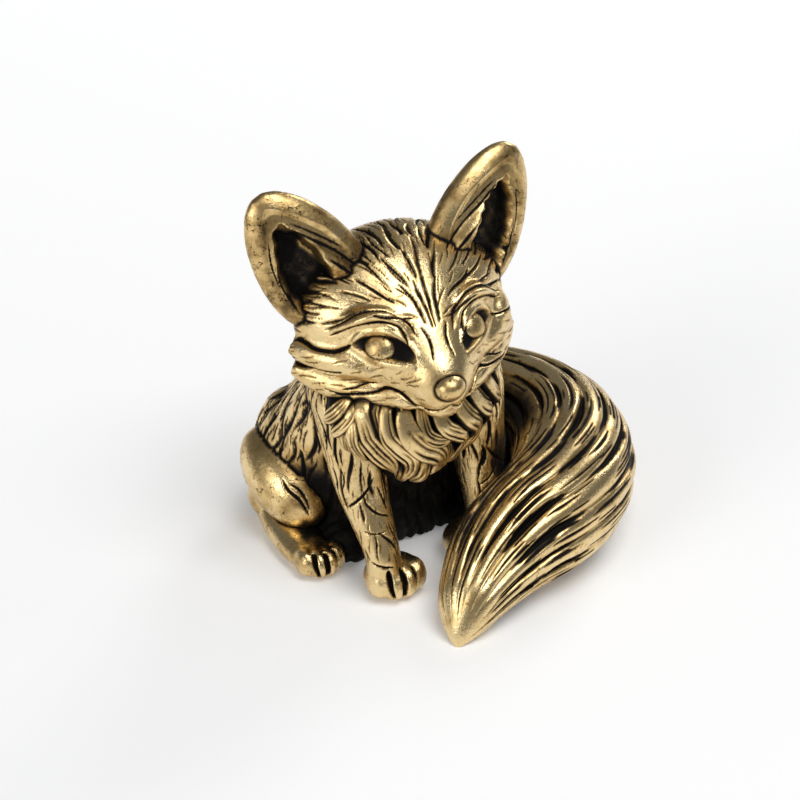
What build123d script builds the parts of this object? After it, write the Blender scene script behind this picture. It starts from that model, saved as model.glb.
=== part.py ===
"""Seated fox figurine in cast brass, built from separately cast sections.

Frame: millimetres, +Z up, the fox looks along -Y and its left side is +X.
The origin is on the table, on the fox's middle plane, under the seat.
Each section is cut back to its neighbour's own surface, sits on it there, and is
located for soldering by a dowel in two blind holes. The sections that reach the
table are dressed flat on it.
"""

import os
from math import cos, pi, radians, sin

from build123d import *

# Torso: five level ovals from the table to the neck. Each has its rise above the
# one below, the y of its middle, its width and its depth
SEAT_MIDDLE = 5.4
SEAT_WIDTH = 18.0
SEAT_DEPTH = 15.2
RUMP_RISE = 5.5
RUMP_MIDDLE = 4.2
RUMP_WIDTH = 22.0
RUMP_DEPTH = 18.0
FLANK_RISE = 6.5
FLANK_MIDDLE = 2.6
FLANK_WIDTH = 22.4
FLANK_DEPTH = 17.6
CHEST_RISE = 6.0
CHEST_MIDDLE = -0.8
CHEST_WIDTH = 18.6
CHEST_DEPTH = 15.6
NECK_RISE = 6.0
NECK_MIDDLE = -1.5
NECK_WIDTH = 14.6
NECK_DEPTH = 13.0

# Head: upright ovals from the muzzle to the back of the skull. Each has its reach in front of the
# cheeks, its drop below the middle of the head, its width and its tall side
HEAD_RISE = 2.3
HEAD_FORWARD = 0.5
MUZZLE_REACH = 10.8
MUZZLE_DROP = 3.8
MUZZLE_WIDTH = 4.6
MUZZLE_TALL = 4.6
SNOUT_REACH = 8.4
SNOUT_DROP = 3.2
SNOUT_WIDTH = 7.4
SNOUT_TALL = 6.8
FACE_REACH = 5.2
FACE_DROP = 2.4
FACE_WIDTH = 13.0
FACE_TALL = 11.0
CHEEK_DROP = 1.0
CHEEK_WIDTH = 20.8
CHEEK_TALL = 14.2
SKULL_REACH = -4.2
SKULL_DROP = 0.2
SKULL_WIDTH = 18.8
SKULL_TALL = 13.4
NAPE_REACH = -7.4
NAPE_DROP = 0.5
NAPE_WIDTH = 13.0
NAPE_TALL = 10.2
POLL_REACH = -9.0
POLL_DROP = 0.8
POLL_WIDTH = 4.6
POLL_TALL = 3.8

# Cheek tufts: cones of fur on each side of the head, swept back to a point
TUFTS = 2
TUFT_DROP = 1.9
TUFT_STEP = 3.0
TUFT_SUNK = 4.6
TUFT_PROUD = 1.2
TUFT_BACK = 0.8
TUFT_SWEEP = 2.2
TUFT_ROOT_WIDTH = 3.8
TUFT_TIP_WIDTH = 0.7

# Ears: a leaf along its own axis, with its front hollowed out. The leaf's pairs are a
# share of its length and how full it is there
EAR_ROOT_SPREAD = 13.0
EAR_ROOT_RISE = 1.6
EAR_ROOT_BACK = 1.2
EAR_TIP_SPREAD = 26.0
EAR_TIP_RISE = 12.1
EAR_TIP_BACK = 4.2
EAR_WIDTH = 10.0
EAR_THICK = 4.8
EAR_TIP_WIDTH = 1.4
EAR_LEAF = [(0, 1.0), (0.28, 0.97), (0.52, 0.86), (0.76, 0.62), (0.92, 0.36)]
EAR_RIM = 1.3
EAR_HOLLOW_DEEP = 2.0
EAR_HOLLOW_LONG = 10.0
EAR_HOLLOW_MIDDLE = 0.42
EAR_DOWEL_BACK = 1.0

# Eyes: a round bead in an almond-shaped socket
EYE_SPREAD = 9.9
EYE_DROP = 0.2
EYE_DIAMETER = 2.7
EYE_PROUD = 0.35
SOCKET_LONG = 5.4
SOCKET_TALL = 2.6
SOCKET_DEEP = 1.6

# Nose: an egg-shaped button let into the end of the muzzle
NOSE_WIDTH = 3.6
NOSE_TALL = 2.9
NOSE_LONG = 2.8
NOSE_RISE = 0.6

# Chest ruff: an egg of fur under the chin that ends below in hanging locks
RUFF_WIDTH = 17.0
RUFF_DEPTH = 9.6
RUFF_TALL = 13.4
RUFF_SUNK = 2.4
RUFF_DROP = 1.0
RUFF_LOCKS = 5
LOCK_SPREAD = 9.0
LOCK_WIDTH = 4.0
LOCK_LENGTH = 4.8
LOCK_TIP_WIDTH = 0.7

# Forelegs: shoulder, wrist and a paw with its toes. The left one stands further back
SHOULDER_DROP = 2.6
SHOULDER_INSET = 3.0
SHOULDER_BACK = 4.4
SHOULDER_WIDTH = 6.0
SHOULDER_DEPTH = 6.6
WRIST_RISE = 4.2
WRIST_WIDTH = 3.6
WRIST_DEPTH = 4.0
WRIST_SPREAD = 11.2
PAW_TURN_IN = 0.9
LEG_BOW = 0.6
ELBOW_SHARE = 0.54
FOREPAW_REACH = 1.8
LEFT_FOREPAW_BACK = 2.4
FOREPAW_WIDTH = 6.0
FOREPAW_LONG = 5.6
FOREPAW_TALL = 4.0
FORE_TOES = 4
TOE_LONG = 3.2
TOE_CROWDING = 1.2
TOE_LOW = 0.9

# Hind legs: a thigh against the rump and a long foot
THIGH_INSET = 0.9
THIGH_RISE = 0.7
THIGH_FORWARD = 1.6
THIGH_WIDTH = 8.4
THIGH_LONG = 14.0
THIGH_TALL = 10.0
THIGH_PITCH = 24.0
FOOT_OUT = 0.2
ANKLE_OUT = 0.7
ANKLE_BACK = 3.0
FOOT_REACH = 8.2
FOOT_WIDTH = 5.4
FOOT_LONG = 13.4
FOOT_TALL = 3.6
HIND_TOES = 4

# Tail: from the rump round the left side on an oval curl, then forward to the tip
TAIL_SUNK = 1.4
TAIL_CLEARANCE = 0.7
TAIL_CURL_WIDTH = 26.6
TAIL_CURL_DEPTH = 25.6
TAIL_ROOT_ANGLE = 125.0
TAIL_LEAVE_ANGLE = -72.0
TAIL_RUN = 13.3
TAIL_TIP_SWEEP = 4.3
TAIL_ROOT_DIAMETER = 6.4
TAIL_DIAMETER = 11.8
TAIL_TIP_DIAMETER = 1.4
TAIL_ROOT_LIFT = 2.2
TAIL_FULLEST = 0.6
TAIL_TAPER = 2.5
TAIL_STATIONS = 20

# Fur: round locks side by side along the torso and the tail, with furrows between them. The
# tail's locks twist by an angle, and its furrows grow shallower where it is thinner
TORSO_LOCKS = 22
TORSO_FURROW_DEPTH = 0.55
TAIL_LOCKS = 11
TAIL_FURROW_DEPTH = 0.8
TAIL_TWIST = 45.0

# Dowels of brass rod, how deep they go in each section, and the gap that solder fills
DOWEL_DIAMETER = 2.0
DOWEL_DEPTH = 2.6
THIN_DOWEL_DIAMETER = 1.2
THIN_DOWEL_DEPTH = 1.5
ANKLE_DOWEL_DEPTH = 1.0
SOLDER_GAP = 0.03

# Share of a paw's, foot's or tail's height that its middle stands above the table
STANCE = 0.44

RIGHT = -1
LEFT = 1
rump_height = RUMP_RISE
flank_height = rump_height + FLANK_RISE
chest_height = flank_height + CHEST_RISE
neck_height = chest_height + NECK_RISE
head_height = neck_height + HEAD_RISE
head_middle = NECK_MIDDLE - HEAD_FORWARD
FORWARDS = Vector(0, -1, 0)
UP = Vector(0, 0, 1)


def oval_loft(stations):
    """A smooth solid through ovals: each station is (plane, width, tall side)."""
    with BuildPart() as swell:
        for plane, width, tall in stations:
            with BuildSketch(plane):
                Ellipse(width / 2, tall / 2)
        loft()
    return swell.part


def furrowed_loft(stations, locks, furrow_depth, twist=0):
    """A solid just inside that of oval_loft, with furrows between round locks along it."""
    widest = max(width for plane, width, tall in stations)
    with BuildPart() as fur:
        for number, (plane, width, tall) in enumerate(stations):
            turn = twist * number / (len(stations) - 1)

            def rim(lock, sunk):
                angle = radians(turn + 360 * lock / locks)
                return (width / 2 - sunk) * cos(angle), (tall / 2 - sunk) * sin(angle)

            furrow = furrow_depth * width / widest
            with BuildSketch(plane):
                with BuildLine():
                    for lock in range(locks):
                        ThreePointArc(
                            rim(lock, furrow), rim(lock + 0.5, SOLDER_GAP), rim(lock + 1, furrow)
                        )
                make_face()
        loft()
    return fur.part


def egg(plane, width, depth, tall):
    """An egg-shaped mass with its middle at the plane's origin, along the plane's axes."""
    with BuildPart() as mass:
        Sphere(0.5)
        scale(by=(width, depth, tall))
    return plane.location * mass.part


def joined(*masses):
    """One solid of several masses that grow into each other."""
    with BuildPart() as whole:
        for mass in masses:
            add(mass)
    return whole.part


def cut_by(*others):
    """Cuts what is being built back to the surfaces of other solids."""
    for other in others:
        add(other, mode=Mode.SUBTRACT)


def crossing(form, start, direction):
    """The first point, beyond start, where a line comes to a form's surface, and its normal."""
    line = Axis(start, direction)
    hits = [hit for face in form.faces() for hit in face.find_intersection_points(line)]
    ahead = [hit for hit in hits if (hit[0] - start).dot(direction) > 0]
    return min(ahead, key=lambda hit: (hit[0] - start).dot(direction))


def rod(point, direction, diameter, depth):
    """A round rod that goes equally deep on both sides of a point."""
    with BuildPart(Plane(point, z_dir=direction)) as bar:
        Cylinder(diameter / 2, 2 * depth)
    return bar.part


def dowel(point, direction, diameter, depth):
    """A dowel across a seat, and the hole for it, which is larger by the solder gap."""
    hole = rod(point, direction, diameter + 2 * SOLDER_GAP, depth + SOLDER_GAP)
    return rod(point, direction, diameter, depth), hole


def keep(piece, name):
    piece.part.label = name
    export_step(piece.part, f"parts/{name}.step")


def level(x, y, height):
    """A level plane with its origin at that point."""
    return Plane((x, y, height))


def head_plane(reach, drop):
    """An upright plane across the head that faces forwards, with +x to the fox's left."""
    return Plane(
        (0, head_middle - reach, head_height - drop), x_dir=(1, 0, 0), z_dir=FORWARDS
    )


def ear_root(side):
    return Vector(side * EAR_ROOT_SPREAD / 2, head_middle + EAR_ROOT_BACK, head_height + EAR_ROOT_RISE)


def ear_tip(side):
    return Vector(side * EAR_TIP_SPREAD / 2, head_middle + EAR_TIP_BACK, head_height + EAR_TIP_RISE)


def ear_form(side):
    """The leaf of one ear, its root sunk in the skull, and the hollow in its front."""
    root = ear_root(side)
    tip = ear_tip(side)
    axis = (tip - root).normalized()
    across = FORWARDS.cross(axis).normalized()
    front = axis.cross(across)

    def oval(share, forward, width, thick):
        middle = root + (tip - root) * share + front * forward
        return Plane(middle, x_dir=across, z_dir=axis), width, thick

    outside = oval_loft(
        [oval(share, 0, EAR_WIDTH * full, EAR_THICK * full) for share, full in EAR_LEAF]
        + [oval(1, 0, EAR_TIP_WIDTH, EAR_TIP_WIDTH / 2)]
    )
    mouth, width, thick = oval(EAR_HOLLOW_MIDDLE, EAR_THICK / 2, EAR_WIDTH - 2 * EAR_RIM, 0)
    hollow = egg(mouth, width, 2 * EAR_HOLLOW_DEEP, EAR_HOLLOW_LONG)
    return outside, hollow


def tuft_form(side, number):
    """One cheek tuft: a cone from inside the cheek to a point behind it."""
    drop = TUFT_DROP + TUFT_STEP * number
    tip = Vector(side * (CHEEK_WIDTH / 2 + TUFT_PROUD), head_middle + TUFT_BACK, head_height - drop)
    root = tip - Vector(side * (TUFT_SUNK + TUFT_PROUD), TUFT_SWEEP, 0)
    axis = tip - root
    return oval_loft(
        [
            (Plane(root, z_dir=axis), TUFT_ROOT_WIDTH, TUFT_ROOT_WIDTH),
            (Plane(root + axis / 2, z_dir=axis), TUFT_ROOT_WIDTH * 0.7, TUFT_ROOT_WIDTH * 0.7),
            (Plane(tip, z_dir=axis), TUFT_TIP_WIDTH, TUFT_TIP_WIDTH),
        ]
    )


def eye_place(side):
    """The point on the face where an eye lies, and the way that the face points there."""
    ahead = Vector(side * EYE_SPREAD / 2, head_middle - 2 * MUZZLE_REACH, head_height - EYE_DROP)
    return crossing(head_mass, ahead, FORWARDS * -1)


def socket_form(side):
    point, normal = eye_place(side)
    plane = Plane(point, x_dir=normal.cross(UP), z_dir=normal)
    return egg(plane, SOCKET_LONG, SOCKET_TALL, 2 * SOCKET_DEEP)


def eye_form(side):
    point, normal = eye_place(side)
    middle = point + normal * (EYE_PROUD - EYE_DIAMETER / 2)
    with BuildPart(Plane(middle, x_dir=normal * -1, z_dir=normal.cross(UP))) as bead:
        Sphere(EYE_DIAMETER / 2)
    return bead.part


def lock_form(number):
    """One lock at the foot of the ruff, from inside it down to a point."""
    share = number / (RUFF_LOCKS - 1) - 0.5
    lean = abs(share) * LOCK_LENGTH / 2
    root = Vector(share * LOCK_SPREAD, ruff_middle, ruff_height - RUFF_TALL / 4 + lean)
    tip = root + Vector(share * LOCK_WIDTH / 2, -LOCK_WIDTH / 3, -LOCK_LENGTH)
    axis = tip - root
    return oval_loft(
        [
            (Plane(root, x_dir=(1, 0, 0), z_dir=axis), LOCK_WIDTH, LOCK_WIDTH * 1.4),
            (Plane(root + axis * 0.6, x_dir=(1, 0, 0), z_dir=axis), LOCK_WIDTH * 0.8, LOCK_WIDTH),
            (Plane(tip, x_dir=(1, 0, 0), z_dir=axis), LOCK_TIP_WIDTH, LOCK_TIP_WIDTH),
        ]
    )


def shoulder_point(side):
    return Vector(
        side * (CHEST_WIDTH / 2 - SHOULDER_INSET),
        CHEST_MIDDLE - CHEST_DEPTH / 2 + SHOULDER_BACK,
        chest_height - SHOULDER_DROP,
    )


def wrist_point(side, back):
    front = CHEST_MIDDLE - CHEST_DEPTH / 2 - FOREPAW_REACH
    return Vector(side * WRIST_SPREAD / 2, front + back, WRIST_RISE)


def paw_form(x, front, width, long, tall, toes):
    """A paw on the table: an egg with round toes side by side along its front."""
    toe_width = TOE_CROWDING * width / toes
    masses = [egg(level(x, front + long / 2, tall * STANCE), width, long, tall)]
    for number in range(toes):
        share = (number + 0.5) / toes - 0.5
        curve = 2 * share * share * TOE_LONG
        place = level(x + share * width, front + TOE_LONG / 3 + curve, tall * STANCE)
        masses.append(egg(place, toe_width, TOE_LONG, tall * TOE_LOW))
    return joined(*masses)


def foreleg_form(side, back):
    """Shoulder, leg and paw in one."""
    shoulder = shoulder_point(side)
    wrist = wrist_point(side, back)
    middle = (wrist + shoulder) / 2 + Vector(0, LEG_BOW, 0)
    leg = oval_loft(
        [
            (level(wrist.X, wrist.Y, WRIST_RISE / 3), WRIST_WIDTH, WRIST_DEPTH),
            (Plane(wrist), WRIST_WIDTH, WRIST_DEPTH),
            (Plane(middle), (WRIST_WIDTH + SHOULDER_WIDTH) / 2, (WRIST_DEPTH + SHOULDER_DEPTH) / 2),
            (Plane(shoulder), SHOULDER_WIDTH, SHOULDER_DEPTH),
        ]
    )
    x = wrist.X - side * PAW_TURN_IN
    front = wrist.Y - FOREPAW_LONG / 2
    return joined(leg, paw_form(x, front, FOREPAW_WIDTH, FOREPAW_LONG, FOREPAW_TALL, FORE_TOES))


def thigh_middle(side):
    return Vector(
        side * (RUMP_WIDTH / 2 - THIGH_INSET),
        RUMP_MIDDLE - THIGH_FORWARD,
        rump_height + THIGH_RISE,
    )


def thigh_form(side, gap=0):
    """The muscle of the thigh, its front end pitched down to the knee, with a gap all round."""
    plane = Plane(thigh_middle(side)).rotated((THIGH_PITCH, 0, 0))
    return egg(plane, THIGH_WIDTH + 2 * gap, THIGH_LONG + 2 * gap, THIGH_TALL + 2 * gap)


def foot_form(side):
    middle = thigh_middle(side)
    return paw_form(
        middle.X + side * FOOT_OUT, middle.Y - FOOT_REACH, FOOT_WIDTH, FOOT_LONG, FOOT_TALL, HIND_TOES
    )


def tail_oval(number):
    """One oval of the tail, square to the way that the tail runs there."""
    root = radians(TAIL_ROOT_ANGLE)
    leave = radians(TAIL_LEAVE_ANGLE)
    half_width = TAIL_CURL_WIDTH / 2
    half_depth = TAIL_CURL_DEPTH / 2
    curl_middle = Vector(
        RUMP_WIDTH / 2 + TAIL_CLEARANCE + TAIL_DIAMETER / 2 - half_width,
        RUMP_MIDDLE + RUMP_DEPTH / 2 - TAIL_SUNK - half_depth,
    )
    curl_length = (root - leave) * (half_width + half_depth) / 2
    length = curl_length + TAIL_RUN
    share = number / (TAIL_STATIONS - 1)
    angle = root + (leave - root) * min(share * length / curl_length, 1)
    run = max(share * length - curl_length, 0)
    along = Vector(half_width * sin(angle), -half_depth * cos(angle)).normalized()
    outwards = along.cross(UP) * -1
    point = curl_middle + Vector(half_width * cos(angle), half_depth * sin(angle))
    point += along * run + outwards * (TAIL_TIP_SWEEP * (run / TAIL_RUN) ** 2)
    along = (along + outwards * (2 * TAIL_TIP_SWEEP * run / TAIL_RUN**2)).normalized()
    if share < TAIL_FULLEST:
        swell = sin(pi / 2 * share / TAIL_FULLEST)
        diameter = TAIL_ROOT_DIAMETER + (TAIL_DIAMETER - TAIL_ROOT_DIAMETER) * swell
    else:
        taper = ((share - TAIL_FULLEST) / (1 - TAIL_FULLEST)) ** TAIL_TAPER
        diameter = TAIL_DIAMETER - (TAIL_DIAMETER - TAIL_TIP_DIAMETER) * taper
    height = diameter * STANCE + TAIL_ROOT_LIFT * (1 - share)
    return Plane(point + UP * height, x_dir=along.cross(UP), z_dir=along), diameter, diameter


torso_ovals = [
    (level(0, SEAT_MIDDLE, 0), SEAT_WIDTH, SEAT_DEPTH),
    (level(0, RUMP_MIDDLE, rump_height), RUMP_WIDTH, RUMP_DEPTH),
    (level(0, FLANK_MIDDLE, flank_height), FLANK_WIDTH, FLANK_DEPTH),
    (level(0, CHEST_MIDDLE, chest_height), CHEST_WIDTH, CHEST_DEPTH),
    (level(0, NECK_MIDDLE, neck_height), NECK_WIDTH, NECK_DEPTH),
]
torso_mass = oval_loft(torso_ovals)
torso_form = furrowed_loft(torso_ovals, TORSO_LOCKS, TORSO_FURROW_DEPTH)
head_mass = oval_loft(
    [
        (head_plane(MUZZLE_REACH, MUZZLE_DROP), MUZZLE_WIDTH, MUZZLE_TALL),
        (head_plane(SNOUT_REACH, SNOUT_DROP), SNOUT_WIDTH, SNOUT_TALL),
        (head_plane(FACE_REACH, FACE_DROP), FACE_WIDTH, FACE_TALL),
        (head_plane(0, CHEEK_DROP), CHEEK_WIDTH, CHEEK_TALL),
        (head_plane(SKULL_REACH, SKULL_DROP), SKULL_WIDTH, SKULL_TALL),
        (head_plane(NAPE_REACH, NAPE_DROP), NAPE_WIDTH, NAPE_TALL),
        (head_plane(POLL_REACH, POLL_DROP), POLL_WIDTH, POLL_TALL),
    ]
)
tufts = [tuft_form(side, number) for side in (RIGHT, LEFT) for number in range(TUFTS)]
head_form = joined(head_mass, *tufts)
nose_form = egg(head_plane(MUZZLE_REACH, MUZZLE_DROP - NOSE_RISE), NOSE_WIDTH, NOSE_TALL, NOSE_LONG)
ruff_height = chest_height - RUFF_DROP
ruff_middle = CHEST_MIDDLE - CHEST_DEPTH / 2 + RUFF_SUNK
ruff_egg = egg(level(0, ruff_middle, ruff_height), RUFF_WIDTH, RUFF_DEPTH, RUFF_TALL)
ruff_form = joined(ruff_egg, *[lock_form(number) for number in range(RUFF_LOCKS)])
tail_ovals = [tail_oval(number) for number in range(TAIL_STATIONS)]
tail_form = furrowed_loft(tail_ovals, TAIL_LOCKS, TAIL_FURROW_DEPTH, TAIL_TWIST)

sides = {"right": (RIGHT, 0), "left": (LEFT, LEFT_FOREPAW_BACK)}
foreleg_forms = {name: foreleg_form(side, back) for name, (side, back) in sides.items()}
thigh_forms = {name: thigh_form(side) for name, (side, back) in sides.items()}
foot_forms = {name: foot_form(side) for name, (side, back) in sides.items()}

# Dowels, each across the seat of one section on its neighbour
neck_seat, normal = crossing(head_form, Vector(0, NECK_MIDDLE, chest_height), UP)
neck_rod, neck_hole = dowel(neck_seat, UP, DOWEL_DIAMETER, DOWEL_DEPTH)
ruff_seat, normal = crossing(
    torso_mass, Vector(0, CHEST_MIDDLE - CHEST_DEPTH, ruff_height), FORWARDS * -1
)
ruff_rod, ruff_hole = dowel(ruff_seat, FORWARDS, THIN_DOWEL_DIAMETER, THIN_DOWEL_DEPTH)
tail_root = tail_ovals[0][0]
tail_seat, normal = crossing(torso_mass, tail_root.origin, tail_root.z_dir)
tail_rod, tail_hole = dowel(tail_seat, tail_root.z_dir, DOWEL_DIAMETER, DOWEL_DEPTH)

ear_rods, ear_holes = [], {}
leg_rods, leg_holes = [], {}
thigh_rods, thigh_holes = [], {}
foot_rods, foot_holes = [], {}
for name, (side, back) in sides.items():
    axis = (ear_tip(side) - ear_root(side)).normalized()
    behind = Vector(0, EAR_DOWEL_BACK, 0)
    seat, normal = crossing(head_form, ear_root(side) + behind, axis)
    ear_rod, ear_holes[name] = dowel(seat, axis, THIN_DOWEL_DIAMETER, THIN_DOWEL_DEPTH)
    ear_rods.append(ear_rod)

    wrist = wrist_point(side, back)
    elbow = wrist + (shoulder_point(side) - wrist) * ELBOW_SHARE
    seat, normal = crossing(torso_mass, elbow, FORWARDS * -1)
    leg_rod, leg_holes[name] = dowel(seat, FORWARDS, THIN_DOWEL_DIAMETER, THIN_DOWEL_DEPTH)
    leg_rods.append(leg_rod)

    thigh = thigh_middle(side)
    across = Vector(side, 0, 0)
    seat, normal = crossing(torso_mass, Vector(0, thigh.Y, thigh.Z), across)
    thigh_rod, thigh_holes[name] = dowel(seat, across, THIN_DOWEL_DIAMETER, THIN_DOWEL_DEPTH)
    thigh_rods.append(thigh_rod)

    ankle = Vector(thigh.X + side * (FOOT_OUT + ANKLE_OUT), thigh.Y + ANKLE_BACK, 0)
    seat, normal = crossing(thigh_forms[name], ankle, UP)
    foot_rod, foot_holes[name] = dowel(seat, UP, THIN_DOWEL_DIAMETER, ANKLE_DOWEL_DEPTH)
    foot_rods.append(foot_rod)

os.makedirs("parts", exist_ok=True)

with BuildPart() as torso:
    add(torso_form)
    cut_by(head_form, neck_hole, ruff_hole, tail_hole)
    cut_by(*leg_holes.values(), *thigh_holes.values())
keep(torso, "torso")

with BuildPart() as head:
    add(head_form)
    cut_by(socket_form(RIGHT), socket_form(LEFT), eye_form(RIGHT), eye_form(LEFT), nose_form)
    cut_by(neck_hole, *ear_holes.values())
keep(head, "head")

with BuildPart() as nose:
    add(nose_form)
keep(nose, "nose")

with BuildPart() as chest_ruff:
    add(ruff_form)
    cut_by(torso_mass, head_form, ruff_hole)
keep(chest_ruff, "chest_ruff")

for name, (side, back) in sides.items():
    leaf, hollow = ear_form(side)
    with BuildPart() as ear:
        add(leaf)
        cut_by(head_form, hollow, ear_holes[name])
    keep(ear, f"{name}_ear")

    with BuildPart() as eye:
        add(eye_form(side))
    keep(eye, f"{name}_eye")

    with BuildPart() as foreleg:
        add(foreleg_forms[name])
        cut_by(torso_mass, ruff_form, leg_holes[name])
        split(bisect_by=Plane.XY, keep=Keep.TOP)
    keep(foreleg, f"{name}_foreleg")

    with BuildPart() as thigh:
        add(thigh_forms[name])
        cut_by(torso_mass, thigh_holes[name], foot_holes[name])
        split(bisect_by=Plane.XY, keep=Keep.TOP)
    keep(thigh, f"{name}_thigh")

    with BuildPart() as hind_foot:
        add(foot_forms[name])
        cut_by(torso_mass, thigh_form(side, SOLDER_GAP), foot_holes[name])
        split(bisect_by=Plane.XY, keep=Keep.TOP)
    keep(hind_foot, f"{name}_hind_foot")

with BuildPart() as tail:
    add(tail_form)
    cut_by(torso_mass, thigh_forms["left"], foot_forms["left"], foreleg_forms["left"], tail_hole)
    split(bisect_by=Plane.XY, keep=Keep.TOP)
keep(tail, "tail")

rods = {
    "neck_dowel": [neck_rod],
    "ruff_dowel": [ruff_rod],
    "tail_dowel": [tail_rod],
    "ear_dowels": ear_rods,
    "foreleg_dowels": leg_rods,
    "thigh_dowels": thigh_rods,
    "hind_foot_dowels": foot_rods,
}
for name, bars in rods.items():
    with BuildPart() as dowels:
        for bar in bars:
            add(bar)
    keep(dowels, name)
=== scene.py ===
"""Looks of a small seated fox in antiqued cast brass, carved with fur."""

import math

import bmesh
import bpy
import numpy as np
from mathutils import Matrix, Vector
from mathutils.bvhtree import BVHTree


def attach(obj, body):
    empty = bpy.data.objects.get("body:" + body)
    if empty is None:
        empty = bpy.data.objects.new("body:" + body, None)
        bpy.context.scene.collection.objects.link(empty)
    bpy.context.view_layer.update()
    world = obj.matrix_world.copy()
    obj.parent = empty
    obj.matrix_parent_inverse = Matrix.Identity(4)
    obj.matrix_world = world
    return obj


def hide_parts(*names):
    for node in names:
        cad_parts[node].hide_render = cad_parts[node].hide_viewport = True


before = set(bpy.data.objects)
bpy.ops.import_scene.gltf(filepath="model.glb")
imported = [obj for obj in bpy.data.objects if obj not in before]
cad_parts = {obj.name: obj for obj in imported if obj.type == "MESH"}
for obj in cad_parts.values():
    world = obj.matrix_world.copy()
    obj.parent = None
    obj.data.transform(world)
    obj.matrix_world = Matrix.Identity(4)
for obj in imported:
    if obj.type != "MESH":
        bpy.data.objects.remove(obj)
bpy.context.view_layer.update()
bpy.ops.object.select_all(action="DESELECT")

# Torso: rump, flanks, chest and neck, a thick brass casting, with long wavy locks cut in the wax.
# All pieces are shaped in millimetres and brought to metres when they are done.
# Each oval has its height, the y of its middle, its width and its depth.
MM = 0.001
RIGHT = -1
LEFT = 1
SIDES = (("right", RIGHT), ("left", LEFT))
SKY_CELL = 0.6
HOLLOW_SPREAD = 14
HOLLOW_GAIN = 3.0
CREST_BRIGHT = -0.4
TORSO_OVALS = [
    (0.0, 4.7, 18.6, 16.8),
    (2.6, 4.5, 20.8, 17.8),
    (5.5, 4.2, 22.0, 18.2),
    (12.0, 2.6, 22.0, 17.6),
    (18.0, -0.8, 18.6, 15.6),
    (24.0, -1.5, 14.6, 13.0),
]
HAUNCH_MIDDLE = (-8.0, 5.0, 7.4)
HAUNCH_SIZE = (8.5, 11.5, 14.0)
# Low webs between each hind foot and foreleg reach down to the table; painted black with the belly, they
# stand there as painted shade.
SHADE_WEB_MIDDLE = (-6.3, -1.6, 1.6)
SHADE_WEB_SIZE = (5.4, 9.0, 5.0)


def between(rows, steps):
    """Rows of numbers, with smooth rows filled in between them."""
    rows = np.asarray(rows, float)
    ends = np.vstack([2 * rows[0] - rows[1], rows, 2 * rows[-1] - rows[-2]])
    filled = []
    for a, b, c, d in zip(ends, ends[1:], ends[2:], ends[3:]):
        for t in np.arange(steps) / steps:
            bend = (2 * a - 5 * b + 4 * c - d) * t * t
            twist = (3 * b - 3 * c + d - a) * t**3
            filled.append(b + 0.5 * ((c - a) * t + bend + twist))
    return np.array(filled + [rows[-1]])


def unit(vector):
    vector = np.asarray(vector, float)
    length = np.linalg.norm(vector, axis=-1, keepdims=True)
    return vector / np.maximum(length, 1e-9)


def shell(name, rings):
    """A closed skin through rings of points; its two ends are closed by a point each."""
    rings = np.asarray(rings, float)
    count, sides = rings.shape[:2]
    points = rings.reshape(-1, 3).tolist()
    points += [rings[0].mean(0).tolist(), rings[-1].mean(0).tolist()]
    faces = []
    for ring in range(count - 1):
        for side in range(sides):
            after = (side + 1) % sides
            low = ring * sides
            faces.append((low + side, low + after, low + sides + after, low + sides + side))
    last = (count - 1) * sides
    for side in range(sides):
        after = (side + 1) % sides
        faces.append((after, side, count * sides))
        faces.append((last + side, last + after, count * sides + 1))
    mesh = bpy.data.meshes.new(name)
    mesh.from_pydata(points, [], faces)
    piece = bpy.data.objects.new(name, mesh)
    bpy.context.collection.objects.link(piece)
    turn_outwards(piece)
    return piece


def turn_outwards(piece):
    """Turns all faces of a closed skin outwards."""
    skin = bmesh.new()
    skin.from_mesh(piece.data)
    bmesh.ops.recalc_face_normals(skin, faces=skin.faces)
    skin.to_mesh(piece.data)
    skin.free()


def swell(name, ovals, sides=40, steps=6):
    """A smooth mass through ovals, each with its middle, half its width and half its depth."""
    rows = between([np.concatenate(oval) for oval in ovals], steps)
    turn = np.linspace(0, 2 * math.pi, sides, endpoint=False)[None, :, None]
    rings = rows[:, None, :3] + np.cos(turn) * rows[:, None, 3:6] + np.sin(turn) * rows[:, None, 6:]
    return shell(name, rings)


def lump(middle, size, turn=(0, 0, 0)):
    """An egg-shaped lump of wax."""
    bpy.ops.mesh.primitive_uv_sphere_add(
        segments=32, ring_count=20, radius=0.5, location=middle, rotation=turn, scale=size
    )
    return bpy.context.active_object


def roll(points, radii, sides=20):
    """A roll of wax along some points, as thick at each as its radius."""
    points = np.asarray(points, float)
    along = unit(np.gradient(points, axis=0))
    ovals = []
    for point, way, radius in zip(points, along, radii):
        across = unit(np.cross(way, (0.3, 0.2, 0.93)))
        ovals.append((point, across * radius, np.cross(way, across) * radius))
    return swell("roll", ovals, sides)


def mirrored(points, side):
    """Points given on the fox's right, on the side asked for."""
    return np.asarray(points, float) * (-side, 1, 1)


def apply_modifier(piece, kind, **settings):
    """Adds a modifier with its settings and applies it."""
    modifier = piece.modifiers.new(kind.lower(), kind)
    for name, value in settings.items():
        setattr(modifier, name, value)
    bpy.ops.object.select_all(action="DESELECT")
    bpy.context.view_layer.objects.active = piece
    piece.select_set(True)
    bpy.ops.object.modifier_apply(modifier=modifier.name)


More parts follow.
